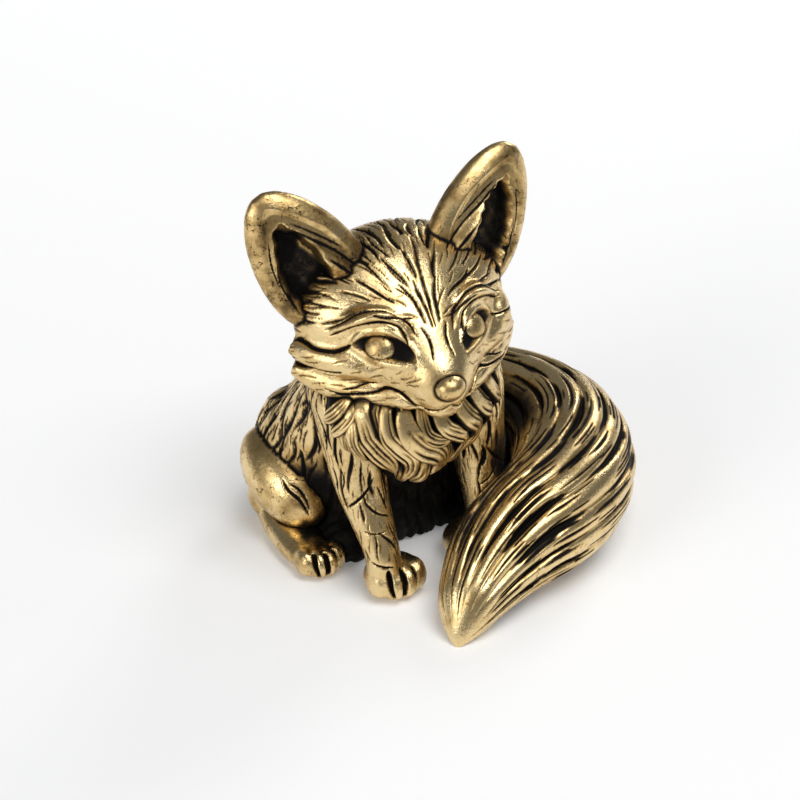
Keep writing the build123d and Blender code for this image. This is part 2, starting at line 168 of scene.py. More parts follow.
def grow_together(name, masses, voxel, rounding):
    """Joins masses of wax into one skin, rounds their creases and makes it fine enough to carve."""
    bpy.ops.object.select_all(action="DESELECT")
    for mass in masses:
        mass.select_set(True)
    bpy.context.view_layer.objects.active = masses[0]
    if len(masses) > 1:
        bpy.ops.object.join()
    bpy.ops.object.transform_apply(location=True, rotation=True, scale=True)
    piece = bpy.context.active_object
    piece.name = name
    piece.data.name = name
    apply_modifier(piece, "REMESH", mode="VOXEL", voxel_size=voxel)
    apply_modifier(piece, "SMOOTH", factor=0.5, iterations=rounding)
    apply_modifier(piece, "SUBSURF", levels=1, render_levels=1)
    return piece


class Skin:
    """The skin of a piece in millimetres, with the cuts, ridges, soot and painted shade that are to go on
    it.
    """

    def __init__(self, piece):
        mesh = piece.data
        count = len(mesh.vertices)
        self.piece = piece
        self.points = np.empty(count * 3, np.float32)
        mesh.vertices.foreach_get("co", self.points)
        self.points = self.points.reshape(-1, 3).astype(float)
        self.normals = np.empty(count * 3, np.float32)
        mesh.vertex_normals.foreach_get("vector", self.normals)
        self.normals = self.normals.reshape(-1, 3).astype(float)
        self.edges = np.empty(len(mesh.edges) * 2, np.int32)
        mesh.edges.foreach_get("vertices", self.edges)
        self.edges = self.edges.reshape(-1, 2)
        self.surface = BVHTree.FromObject(piece, bpy.context.evaluated_depsgraph_get())
        self.cut = np.zeros(count)
        self.lift = np.zeros(count)
        self.soot_and_shade = np.zeros(count)
        self.cell = SKY_CELL
        self.rubbed = False

    def onto(self, points):
        """Points brought to the nearest places on the skin."""
        return np.array([self.surface.find_nearest(Vector(point))[0] for point in points])

    def line(self, points, steps=8):
        """A smooth line on the skin through a few points."""
        return self.onto(between(points, steps))

    def trace(self, start, heading, length, sway=0.0, waves=1.0, phase=0.0, step=0.25):
        """A line on the skin that follows a heading and sways from side to side."""
        point = np.asarray(start, float)
        path = []
        for travelled in np.arange(0, length, step):
            place, normal, _, _ = self.surface.find_nearest(Vector(point))
            place = np.array(place)
            normal = np.array(normal)
            path.append(place)
            way = heading(place)
            way = unit(way - normal * way.dot(normal))
            swing = sway * math.sin(2 * math.pi * (waves * travelled / length + phase))
            way = unit(way + np.cross(normal, way) * swing)
            point = place + way * step
        return np.array(path)

    def beside(self, path, reach):
        """The points of the skin near a path, how far they are from it, and where along it."""
        near = ((self.points > path.min(0) - reach) & (self.points < path.max(0) + reach)).all(1)
        near = np.where(near)[0]
        start = path[:-1]
        run = path[1:] - start
        gap = self.points[near][:, None, :] - start[None]
        share = np.clip((gap * run).sum(2) / np.maximum((run * run).sum(1), 1e-9), 0, 1)
        gap = np.linalg.norm(gap - share[..., None] * run, axis=2)
        closest = gap.argmin(1)
        rows = np.arange(len(near))
        along = (closest + share[rows, closest]) / len(run)
        gap = gap[rows, closest]
        close = gap < reach
        return near[close], gap[close], along[close]

    def groove(self, path, width, depth, soot_and_shade=1.0, shape=1.6, taper=0.6, ink=0.6, lean=1.0):
        """A groove along a path: pointed at both ends, with rounded shoulders and soot along its bed."""
        near, gap, along = self.beside(path, width)
        lens = np.maximum(np.sin(math.pi * along**lean), 0) ** taper
        ratio = gap / np.maximum(width * lens, 0.05)
        self.cut[near] = np.maximum(self.cut[near], depth * lens * np.clip(1 - ratio, 0, 1) ** shape)
        black = soot_and_shade * np.minimum(lens * 1.6, 1) * np.clip((ink - ratio) / 0.25, 0, 1)
        self.soot_and_shade[near] = np.maximum(self.soot_and_shade[near], black)

    def ridge(self, path, width, height, taper=0.5):
        """A rounded ridge along a path, low at both ends."""
        near, gap, along = self.beside(path, width)
        lens = np.maximum(np.sin(math.pi * along), 0) ** taper
        bump = height * lens * (0.5 + 0.5 * np.cos(math.pi * gap / width))
        self.lift[near] = np.maximum(self.lift[near], bump)

    def seeds(self, where, heading, spacing, random, tries=6000):
        """Places for strokes, set apart further along the fur than across it."""
        along_gap, across_gap = spacing
        chosen = np.empty((0, 3))
        candidates = np.where(where(self.points, self.normals))[0]
        for index in random.permutation(candidates)[:tries]:
            point = self.points[index]
            if len(chosen):
                way = unit(heading(point))
                apart = chosen - point
                along = apart @ way
                across = (apart * apart).sum(1) - along**2
                if ((along / along_gap) ** 2 + across / across_gap**2 < 1).any():
                    continue
            chosen = np.vstack([chosen, point])
        return chosen

    def fur(self, where, heading, spacing, length, width, depth, random, sway=0.3, soot_and_shade=1.0):
        """Strokes of fur all over a region, each a little different from the next."""
        for seed in self.seeds(where, heading, spacing, random):
            long = length * random.uniform(0.6, 1.3)
            wide = width * random.uniform(0.7, 1.25)
            deep = depth * random.uniform(0.6, 1.15)
            bend = sway * random.uniform(0.4, 1.2)
            path = self.trace(seed, heading, long, bend, random.uniform(0.6, 1.1), random.uniform(0, 1))
            if len(path) > 2:
                black = soot_and_shade * random.uniform(0.75, 1.0)
                self.groove(path, wide, deep, black, lean=random.uniform(0.6, 1.5))

    def blurred(self, values, rounds):
        """A value on the skin, evened out with its neighbours."""
        first, second = self.edges.T
        count = len(values)
        degree = np.bincount(first, minlength=count) + np.bincount(second, minlength=count)
        for _ in range(rounds):
            total = np.bincount(first, values[second], count) + np.bincount(second, values[first], count)
            values = 0.5 * values + 0.5 * total / np.maximum(degree, 1)
        return values

    def finish(self):
        """Cuts the skin, keeps it off the table and brings the piece to metres."""
        deeper = self.cut - self.blurred(self.cut, HOLLOW_SPREAD)
        self.hollow = np.clip(deeper * HOLLOW_GAIN, CREST_BRIGHT, 1)
        moved = self.points + self.normals * (self.lift - self.cut)[:, None]
        moved[:, 2] = np.maximum(moved[:, 2], 0)
        mesh = self.piece.data
        mesh.vertices.foreach_set("co", (moved * MM).astype(np.float32).ravel())
        self.points = moved
        self.faces = [tuple(face.vertices) for face in mesh.polygons]
        self.surface = BVHTree.FromPolygons(moved.tolist(), self.faces)
        mesh.update()
        for face in mesh.polygons:
            face.use_smooth = True


def feed(tree, socket, value):
    """Links a socket of a shader node to another one, or sets it to a number or a colour."""
    if isinstance(value, bpy.types.NodeSocket):
        tree.links.new(value, socket)
    else:
        socket.default_value = value


def node(tree, kind, **inputs):
    """A shader node with some of its sockets linked or set."""
    made = tree.nodes.new(kind)
    for name, value in inputs.items():
        feed(tree, made.inputs[name.replace("_", " ")], value)
    return made


def noise(tree, place, scale, detail, roughness):
    """Cloudy noise over a piece, between 0 and 1."""
    cloud = node(tree, "ShaderNodeTexNoise", Vector=place, Scale=scale, Detail=detail, Roughness=roughness)
    return cloud.outputs["Fac"]


def stretch(tree, value, start, end, low, high):
    """A value that runs from low to high while the one given runs from start to end."""
    run = node(
        tree, "ShaderNodeMapRange", Value=value, From_Min=start, From_Max=end, To_Min=low, To_Max=high
    )
    return run.outputs["Result"]


def reckon(tree, operation, *values, clamp=False):
    """What a sum, a product or the like of some values comes to."""
    step = tree.nodes.new("ShaderNodeMath")
    step.operation = operation
    step.use_clamp = clamp
    for socket, value in zip(step.inputs, values):
        feed(tree, socket, value)
    return step.outputs["Value"]


BRIGHT_BRASS = (0.84, 0.64, 0.33, 1)
BLACK_OXIDE_AND_SHADE = (0.004, 0.0035, 0.003, 1)
TARNISH_AND_SHADE = [
    (0.20, (0.68, 0.48, 0.21, 1)),
    (0.42, (0.36, 0.235, 0.09, 1)),
    (0.66, (0.06, 0.038, 0.017, 1)),
    (0.82, (0.012, 0.009, 0.006, 1)),
]
OXIDE_ROUGHNESS = 0.62
OXIDE_METAL = 0.1
OXIDE_SHEEN = 0.08
GRIT_HEIGHT = 0.00009


def antique_brass(name, polish, mottle):
    """Brass with dark oxide left in its hollows, and black painted shade under and between the parts;
    polish is its roughness where it is rubbed bright.
    """
    brass = bpy.data.materials.new(name)
    brass.use_nodes = True
    tree = brass.node_tree
    place = tree.nodes.new("ShaderNodeTexCoord").outputs["Object"]
    patina_and_shade = tree.nodes.new("ShaderNodeAttribute")
    patina_and_shade.attribute_name = "patina_and_shade"
    grit = noise(tree, place, 3200.0, 4.0, 0.7)
    worn = stretch(tree, noise(tree, place, 360.0, 6.0, 0.62), 0.36, 0.72, -mottle * 0.35, mottle)
    dust = stretch(tree, grit, 0.45, 0.75, 0.0, 1.0)
    pit = node(tree, "ShaderNodeTexVoronoi", Vector=place, Scale=1500.0).outputs["Distance"]
    speck = reckon(tree, "MULTIPLY", stretch(tree, pit, 0.05, 0.16, mottle * 1.1, 0.0), dust)
    vein = reckon(tree, "SUBTRACT", noise(tree, place, 380.0, 3.0, 0.6), 0.5)
    scratch = stretch(tree, reckon(tree, "ABSOLUTE", vein), 0.004, 0.016, mottle * 2.2, 0.0)
    marks = reckon(tree, "MULTIPLY_ADD", scratch, dust, speck)
    stained_and_shaded = reckon(tree, "ADD", patina_and_shade.outputs["Fac"], worn)
    dark = reckon(tree, "ADD", stained_and_shaded, marks, clamp=True)
    colour = node(tree, "ShaderNodeValToRGB", Fac=dark)
    stops = colour.color_ramp.elements
    stops[0].position = 0.0
    stops[0].color = BRIGHT_BRASS
    stops[1].position = 1.0
    stops[1].color = BLACK_OXIDE_AND_SHADE
    for position, tint in TARNISH_AND_SHADE:
        stops.new(position).color = tint
    grain = node(tree, "ShaderNodeBump", Height=grit, Strength=0.45, Distance=GRIT_HEIGHT)
    shader = tree.nodes["Principled BSDF"].inputs
    feed(tree, shader["Base Color"], colour.outputs["Color"])
    feed(tree, shader["Roughness"], stretch(tree, dark, 0.0, 1.0, polish, OXIDE_ROUGHNESS))
    feed(tree, shader["Metallic"], stretch(tree, dark, 0.5, 1.0, 1.0, OXIDE_METAL))
    feed(tree, shader["Specular IOR Level"], stretch(tree, dark, 0.5, 1.0, 0.5, OXIDE_SHEEN))
    feed(tree, shader["Normal"], grain.outputs["Normal"])
    return brass


def set_in_place(skin, brass, casting):
    """Finishes a skin, gives it its brass and puts it in place of its casting in the frame."""
    skin.finish()
    skins.append(skin)
    piece = skin.piece
    piece.data.materials.clear()
    piece.data.materials.append(brass)
    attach(piece, "root")
    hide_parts(casting)


skins = []
fur_brass = antique_brass("brass_fur", 0.26, 0.27)
torso_random = np.random.default_rng(11)


def down_the_body(point):
    """Fur lies down and backwards on the chest, and straight down on the back."""
    back = np.clip(point[1] / 8, -1, 1)
    return np.array([0.0, 0.30 - 0.25 * back, -1.0])


torso_mass = swell(
    "torso",
    [((0, y, z), (wide / 2, 0, 0), (0, deep / 2, 0)) for z, y, wide, deep in TORSO_OVALS],
)
torso_masses = [torso_mass]
for side in (RIGHT, LEFT):
    torso_masses.append(lump(mirrored(HAUNCH_MIDDLE, side), HAUNCH_SIZE))
    torso_masses.append(lump(mirrored(SHADE_WEB_MIDDLE, side), SHADE_WEB_SIZE))
torso = Skin(grow_together("torso_looks", torso_masses, voxel=0.38, rounding=8))


def above_seat(points, normals):
    return (points[:, 2] > 1.2) & (normals[:, 2] > -0.6)


torso.fur(above_seat, down_the_body, (4.6, 1.15), 6.0, 0.52, 0.42, torso_random, 0.34)
torso.fur(above_seat, down_the_body, (2.6, 0.58), 3.2, 0.24, 0.15, torso_random, 0.35, 0.85)
# Painted shade: the lower front of the body, between the legs and under the ruff, is painted black where
# shade falls.
belly_shade = np.clip((2.5 - torso.points[:, 1]) / 4, 0, 1)
belly_shade *= np.clip((13.0 - torso.points[:, 2]) / 5, 0, 1)
torso.soot_and_shade = np.maximum(torso.soot_and_shade, belly_shade)
set_in_place(torso, fur_brass, "torso")

# Head: skull, muzzle, jaw and two swept-back cheek tufts on each side, in one casting.
# The fur fans out from the brow; brows, eye sockets, mouth and tufts are cut with a graver.
# Each oval has its reach in front of the cheeks, its drop, its width and its tall side.
HEAD_MIDDLE = (-2.0, 26.3)
HEAD_OVALS = [
    (10.9, 3.9, 2.8, 3.0),
    (10.1, 3.7, 4.8, 4.8),
    (8.4, 3.2, 7.4, 6.8),
    (5.2, 2.4, 13.0, 11.0),
    (0.0, 1.0, 20.8, 14.2),
    (-4.2, 0.2, 18.8, 13.4),
    (-7.4, 0.5, 13.0, 10.2),
    (-9.0, 0.8, 4.6, 3.8),
]
BROW_MIDDLE = np.array([0.0, -8.8, 28.0])
EYE_MIDDLE = np.array([-5.1, -7.95, 26.1])
EYE_INNER = np.array([-2.5, -10.75, 25.2])
EYE_OUTER = np.array([-7.1, -6.15, 25.75])
EYE_LINE = [
    EYE_OUTER, (-6.1, -7.0, 26.05), EYE_MIDDLE, (-3.9, -8.95, 26.05), (-3.0, -9.9, 25.7), EYE_INNER,
]
JAW = [
    (-2.4, -10.6, 20.9), (-5.0, -8.3, 21.0), (-7.5, -5.7, 20.95), (-9.4, -3.4, 21.2), (-11.0, -1.6, 21.9),
]
BROW = [(-2.6, -8.6, 27.2), (-4.0, -7.0, 28.3), (-6.0, -5.8, 28.2), (-7.8, -4.6, 27.0)]
CHEEKS = {
    RIGHT: [(-5.2, -7.7, 23.3), (-7.5, -5.5, 23.6), (-9.5, -3.3, 23.7), (-11.0, -1.3, 23.9)],
    LEFT: [(-5.2, -7.7, 23.3), (-7.5, -5.5, 23.4), (-9.2, -3.8, 22.9), (-10.4, -2.4, 22.2)],
}
CHEEK_RADII = {RIGHT: [1.0, 1.45, 1.35, 0.95], LEFT: [1.0, 1.4, 1.2, 0.8]}
# Lids and the fold over them: width, height and places of each ridge.
FACE_RIDGES = [
    (0.55, 0.34, [
        EYE_OUTER, (-6.1, -6.45, 27.0), (-5.1, -7.05, 27.45), (-3.8, -8.05, 27.45), (-2.9, -9.2, 26.7),
        (-2.3, -10.5, 25.5),
    ]),
    (0.55, 0.22, [
        EYE_OUTER, (-6.2, -7.5, 25.1), (-5.1, -8.75, 24.75), (-3.9, -9.8, 24.75), (-2.6, -10.9, 24.8),
    ]),
    (0.55, 0.30, [
        (-8.6, -4.5, 26.6), (-7.3, -5.7, 27.6), (-6.1, -6.5, 28.5), (-4.9, -7.1, 28.9), (-3.8, -7.7, 28.75),
        (-2.8, -8.4, 28.0), (-2.3, -9.3, 26.9),
    ]),
]
# Lines over the eye, of the mouth, on the cheek, the bridge and the forehead: width, depth and places.
FACE_LINES = [
    (0.28, 0.3, [
        (-8.6, -4.5, 26.2), (-7.76, -5.2, 26.85), (-6.8, -6.2, 27.75), (-5.5, -7.1, 28.25),
        (-4.4, -7.7, 28.4), (-3.3, -8.3, 28.0), (-2.85, -8.9, 27.2), (-2.75, -9.6, 26.4),
    ]),
    (0.30, 0.26, [
        (-9.0, -4.1, 26.6), (-7.76, -5.2, 27.75), (-6.7, -6.0, 28.9), (-5.5, -6.5, 29.45),
        (-4.3, -7.0, 29.5), (-3.1, -7.7, 28.95), (-2.2, -8.4, 28.1), (-1.8, -9.4, 27.0),
    ]),
    (0.26, 0.34, [
        (0.05, -12.8, 21.6), (-0.48, -12.8, 20.95), (-1.4, -12.2, 20.6), (-2.4, -11.0, 20.65),
        (-3.46, -10.55, 21.6), (-4.05, -9.85, 22.05), (-4.78, -9.05, 22.15), (-5.84, -8.6, 21.75),
        (-7.25, -7.65, 21.3), (-8.4, -6.55, 20.95), (-9.46, -5.25, 21.15),
    ]),
    (0.18, 0.12, [(-5.4, -8.4, 22.5), (-6.35, -7.7, 22.25), (-7.3, -7.3, 21.8), (-8.25, -6.6, 21.45)]),
    (0.20, 0.14, [(-1.3, -8.8, 27.85), (-0.85, -10.0, 26.75), (-1.1, -11.4, 25.55)]),
    (0.24, 0.24, [(-0.7, -9.0, 27.9), (-0.9, -7.9, 29.0), (-1.2, -6.8, 30.0), (-2.0, -5.4, 31.0)]),
    (0.20, 0.2, [(-0.1, -9.3, 27.6), (-0.15, -8.2, 28.8), (-0.35, -7.0, 29.9), (-0.4, -5.4, 31.1)]),
]
# The clefts above and below the cheek tuft, which are narrow and shallow on the left.
TUFT_CLEFTS = [
    [
        (-11.2, -1.6, 25.2), (-10.4, -2.6, 25.0), (-9.8, -4.0, 24.9), (-8.55, -5.3, 25.0),
        (-7.65, -5.8, 25.3), EYE_OUTER,
    ],
    [
        (-11.5, -1.2, 22.8), (-10.9, -2.4, 22.6), (-10.2, -4.0, 22.75), (-9.3, -5.3, 22.8),
        (-8.25, -6.7, 23.3),
    ],
]
TUFT_WIDTH = {RIGHT: 0.38, LEFT: 0.38 * 0.6}
TUFT_DEPTH = {RIGHT: 0.5, LEFT: 0.5 * 0.3}
GRAVER = {"shape": 1.3, "taper": 0.35, "ink": 0.65}

head_mass = swell(
    "head",
    [
        ((0, HEAD_MIDDLE[0] - reach, HEAD_MIDDLE[1] - drop), (wide / 2, 0, 0), (0, 0, tall / 2))
        for reach, drop, wide, tall in HEAD_OVALS
    ],
)
head_masses = [
    head_mass,
    lump((0, -8.9, 20.9), (6.4, 7.2, 3.4), (math.radians(-12), 0, 0)),
    lump((0, -11.5, 21.9), (4.4, 3.4, 2.4)),
    lump((0, -11.0, 20.3), (4.0, 3.4, 2.2)),
    lump((0, -9.8, 24.6), (3.4, 6.6, 3.4), (math.radians(34), 0, 0)),
]
for side in (RIGHT, LEFT):
    head_masses.append(roll(mirrored(JAW, side), [0.8, 1.1, 1.3, 1.3, 0.9]))
    head_masses.append(roll(mirrored(CHEEKS[side], side), CHEEK_RADII[side]))
    if side == LEFT:
        head_masses.append(lump(mirrored((-8.5, -3.0, 24.3), side), (3.6, 6.4, 5.0)))
    head_masses.append(roll(mirrored(BROW, side), [0.5, 0.95, 0.95, 0.5]))
head = Skin(grow_together("head_looks", head_masses, voxel=0.266, rounding=7))

for side in (RIGHT, LEFT):
    head.groove(head.line(mirrored(EYE_LINE, side)), 1.12, 0.75, shape=0.3, taper=0.75, ink=1.05)
    for width, height, points in FACE_RIDGES:
        head.ridge(head.line(mirrored(points, side)), width, height)
    for width, depth, points in FACE_LINES:
        head.groove(head.line(mirrored(points, side)), width, depth, **GRAVER)
    for points in TUFT_CLEFTS:
        head.groove(head.line(mirrored(points, side)), TUFT_WIDTH[side], TUFT_DEPTH[side], **GRAVER)


def from_the_brow(point):
    """Fur lies away from the brow, then down the back of the head and along the cheeks."""
    fan = unit(point - BROW_MIDDLE)
    nape = np.clip((point[1] - 1) / 5, 0, 1)
    cheek = np.clip((25.2 - point[2]) / 2, 0, 1) * (1 - nape)
    way = fan * (1 - nape) + np.array([0, 0.35, -1.0]) * nape
    return way * (1 - cheek) + np.array([0.5 * np.sign(point[0]), 0.8, -0.25]) * cheek


def over_brow(points):
    return points[:, 2] > 29.3 - 0.10 * (np.abs(points[:, 0]) - 4.4) ** 2


def forehead(points, normals):
    bridge = (np.abs(points[:, 0]) < 0.7) & (points[:, 1] < -7.8)
    return over_brow(points) & (points[:, 1] < -2.6) & ~bridge


def crown(points, normals):
    return (points[:, 1] > -3.0) & (normals[:, 2] > -0.9) & (points[:, 2] > 22.0)


def whole_fur(points, normals):
    return forehead(points, normals) | crown(points, normals)


def cheek_fur(points, normals):
    side = (np.abs(points[:, 0]) > 2.2) & (points[:, 1] < -1.0) & (points[:, 2] < 24.6)
    return side & (points[:, 2] > 20.6) & (normals[:, 2] > -0.7)


head_random = np.random.default_rng(23)
head.fur(forehead, from_the_brow, (4.4, 0.86), 4.6, 0.27, 0.28, head_random, 0.22)
head.fur(crown, from_the_brow, (3.6, 0.95), 4.2, 0.42, 0.36, head_random, 0.34)
head.fur(whole_fur, from_the_brow, (2.6, 0.52), 2.6, 0.16, 0.09, head_random, 0.22, 0.8)
head.fur(cheek_fur, from_the_brow, (2.4, 0.62), 1.9, 0.16, 0.07, head_random, 0.15, 0.55)
set_in_place(head, fur_brass, "head")

# Eyes: a round bead of brass in each almond-shaped socket of the head, rubbed bright.
# Each is flattened a little and let into the bed of its socket.
EYE_SIZE = (3.2, 3.2, 2.0)
EYE_SUNK = 0.3
polished_brass = antique_brass("brass_polished", 0.22, 0.46)
for name, side in SIDES:
    face, normal, _, _ = head.surface.find_nearest(Vector(mirrored([EYE_MIDDLE], side)[0]))
    middle = face - normal * EYE_SUNK
    turn = normal.to_track_quat("Z", "Y").to_euler()
    bead = Skin(grow_together(f"{name}_eye_looks", [lump(middle, EYE_SIZE, turn)], voxel=0.16, rounding=2))
    bead.rubbed = True
    set_in_place(bead, polished_brass, f"{name}_eye")

# Nose: an egg-shaped button of brass let into the end of the muzzle and rubbed bright.
# A dark crease stays round it where the cloth can't reach.
NOSE_MIDDLE = (0, -12.5, 23.05)
NOSE_SIZE = (3.1, 2.9, 2.45)
nose = Skin(grow_together("nose_looks", [lump(NOSE_MIDDLE, NOSE_SIZE)], voxel=0.2, rounding=3))
nose.rubbed = True
set_in_place(nose, polished_brass, "nose")

# Ears: thick leaves of brass, rounded over at the rim and hollowed in front, with a tuft of fur
# inside. Each is cast by itself and set in the skull, where a dark crease stays round its root.
EAR_ROOT = np.array([-6.5, -0.8, 27.9])
EAR_TIP = np.array([-13.0, 2.2, 38.6])
EAR_WIDTH = 10.4
EAR_THICK = 4.6
EAR_LEAF = np.array([
    (0, 0.86), (0.10, 0.94), (0.28, 0.97), (0.52, 0.88), (0.76, 0.66), (0.92, 0.38), (0.985, 0.16),
])
EAR_TUFT = [(0.02, -0.62), (0.18, -0.46), (0.34, -0.32), (0.52, -0.22)]
EAR_LINES = [
    (0.24, 0.26, [(0.10, -0.55), (0.22, -0.44), (0.36, -0.34)]),
    (0.24, 0.24, [(0.06, -0.82), (0.30, -0.62), (0.55, -0.36), (0.72, -0.14)]),
    (0.18, 0.14, [(0.30, -0.78), (0.50, -0.58), (0.68, -0.36)]),
    (0.16, 0.12, [(0.44, -0.66), (0.60, -0.48), (0.74, -0.26)]),
    (0.18, 0.12, [(0.10, 0.80), (0.30, 0.76), (0.48, 0.70)]),
    (0.16, 0.10, [(0.36, 0.82), (0.55, 0.72), (0.72, 0.52)]),
]
EAR_STEP = 0.35
EAR_DEEP = 1.7
EAR_TARNISH = 0.2
ear_random = np.random.default_rng(17)
for name, side in SIDES:
    root, tip = mirrored([EAR_ROOT, EAR_TIP], side)
    axis = unit(tip - root)
    outwards = -side * unit(np.cross((0, -1, 0), axis))
    front = -side * np.cross(axis, outwards)

    def on_leaf(places):
        """Points over the front of the ear, from shares of its length and of its half width, outwards."""
        share, out = np.array(places, float).T
        half = np.interp(share, *EAR_LEAF.T) * EAR_WIDTH / 2
        middle = root + (tip - root) * share[:, None]
        return middle + outwards * (out * half)[:, None] + front * EAR_THICK / 2

    leaf = swell(
        f"{name}_ear",
        [
            (root + (tip - root) * share, outwards * EAR_WIDTH / 2 * full, front * EAR_THICK / 2 * full)
            for share, full in EAR_LEAF
        ],
        48,
    )
    ear = Skin(grow_together(f"{name}_ear_looks", [leaf], voxel=0.24, rounding=4))
    spot = ear.points - root
    share = spot @ axis / np.linalg.norm(tip - root)
    out = spot @ outwards / (np.interp(share, *EAR_LEAF.T) * EAR_WIDTH / 2)
    facing = np.clip((ear.normals @ front - 0.15) / 0.3, 0, 1)
    inside_rim = np.clip((1 - np.hypot((share - 0.36) / 0.54, (out - 0.04) / 0.80)) / 0.10, 0, 1)
    rough = np.sin(ear.points @ (3.1, 1.3, 0.4)) * np.sin(ear.points @ (0.7, 2.3, 1.9))
    mouth = np.hypot((share - 0.31) / 0.44, (out - 0.20 + 0.30 * (share - 0.31)) / 0.49)
    hollow = facing * np.clip((1 - mouth + 0.06 * rough) / 0.16, 0, 1)
    ear.cut += facing * EAR_STEP * inside_rim + hollow * EAR_DEEP
    ear.soot_and_shade = np.maximum(ear.soot_and_shade, np.clip(hollow * 2.0 - 0.3, 0, 1) * (0.86 + 0.14 * rough))
    tuft = ear.onto(between(on_leaf(EAR_TUFT), 6))
    ear.ridge(tuft, 1.2, 0.75)
    near, gap, _ = ear.beside(tuft, 0.75)
    ear.soot_and_shade[near] *= np.clip(gap / 0.75, 0, 1)
    for width, depth, stroke in EAR_LINES:
        ear.groove(ear.onto(between(on_leaf(stroke), 6)), width, depth, shape=1.3, taper=0.6, ink=0.7)

    def in_hollow(points, normals):
        return hollow > 0.97

    def up_the_ear(point):
        return axis

    def low_behind(points, normals):
        return (normals @ front < -0.2) & (share > 0.08) & (share < 0.5)

    ear.fur(in_hollow, up_the_ear, (0.9, 0.6), 0.9, 0.45, 0.4, ear_random, 0.9, 0.0)
    ear.fur(low_behind, up_the_ear, (2.6, 1.1), 2.6, 0.22, 0.16, ear_random, 0.25)
    ear.soot_and_shade = np.maximum(ear.soot_and_shade, EAR_TARNISH)
    set_in_place(ear, polished_brass, f"{name}_ear")

# Chest ruff: thick curled locks under the chin that lie over each other and hang over the legs.
# The locks are rolled in wax one by one, lined with a graver, and laid on an egg-shaped base.
RUFF_OVALS = np.array([  # height, x, y, half width and half depth
    (10.4, -1.6, -6.8, 1.6, 1.4),
    (12.0, -1.4, -6.6, 3.6, 2.8),
    (14.5, -1.2, -6.4, 6.0, 3.7),
    (17.2, -1.2, -6.1, 7.8, 4.1),
    (19.6, -1.2, -5.7, 8.0, 3.6),
    (21.4, -0.8, -5.2, 6.8, 2.6),
    (23.0, -0.4, -4.8, 4.8, 1.6),
])
RUFF_LOCKS = [  # how far it stands off the base, width, places by degrees round the ruff and height
    (0.2, 2.2, [(-46, 21.2), (-45, 19.4), (-44, 17.6), (-40, 15.6), (-34, 14.0), (-35, 12.6)]),
    (0.2, 1.8, [(-25, 20.8), (-28, 19.0), (-28, 17.4), (-23, 15.9), (-16, 14.5), (-18, 12.9), (-34, 11.4)]),
    (0.4, 2.6, [(-15, 19.6), (-15, 18.2), (-12, 16.9), (-5, 15.6), (5, 14.7), (12, 13.4), (8, 11.9)]),
    (0.2, 1.6, [(-3, 20.2), (-4, 18.6), (-3, 17.2), (3, 16.3), (11, 15.9), (20, 15.9)]),
    (0.3, 1.8, [(8, 20.2), (8, 18.4), (12, 17.1), (21, 16.2), (31, 15.2), (31, 13.6)]),
    (0.3, 2.2, [(20, 20.8), (23, 19.0), (30, 17.4), (41, 16.2), (46, 14.8), (40, 13.2)]),
    (0.3, 2.2, [(34, 21.2), (38, 19.4), (46, 17.8), (58, 16.6), (63, 15.0), (56, 13.4)]),
    (0.2, 2.2, [(50, 21.2), (55, 19.6), (64, 18.2), (76, 17.0), (80, 15.4)]),
    (0.2, 2.0, [(68, 21.2), (76, 19.6), (88, 18.2), (96, 16.6)]),
    (-0.1, 1.6, [(-52, 20.2), (-55, 19.4), (-62, 18.5), (-74, 17.4), (-88, 16.4)]),
    (0.1, 1.5, [(-54, 19.0), (-55, 17.6), (-58, 15.9), (-57, 14.2)]),
    (0.0, 1.4, [(-61, 18.0), (-66, 16.6), (-73, 14.9)]),
    (-0.1, 1.6, [(-62, 20.4), (-67, 19.6), (-78, 18.7), (-94, 17.8)]),
    (-0.3, 1.7, [(-28, 15.4), (-26, 13.8), (-28, 12.4), (-40, 11.3)]),
    (-0.3, 1.8, [(-8, 14.8), (-2, 13.4), (-4, 12.0), (-18, 10.9)]),
    (-0.3, 1.7, [(18, 15.4), (24, 13.8), (18, 12.2)]),
    (-0.3, 1.7, [(34, 15.6), (40, 13.8), (34, 12.2)]),
    (-0.2, 1.5, [(-12, 21.4), (-15, 20.0), (-14, 18.6)]),
    (-0.2, 1.6, [(-35, 21.2), (-37, 19.6), (-36, 18.0), (-32, 16.2)]),
]
LOCK_SIDES = 30
ruff_random = np.random.default_rng(5)
ruff_mass = swell(
    "ruff",
    [((x, y, z), (wide, 0, 0), (0, deep, 0)) for z, x, y, wide, deep in RUFF_OVALS],
)
ruff_base = Skin(grow_together("ruff_base", [ruff_mass], voxel=0.36, rounding=3))


def on_ruff(angle, height):
    """A place on the ruff, at an angle round it from the front towards the fox's left."""
    x, y, wide, deep = [np.interp(height, RUFF_OVALS[:, 0], column) for column in RUFF_OVALS.T[1:]]
    return np.stack([x + wide * np.sin(angle), y - deep * np.cos(angle), height], -1)


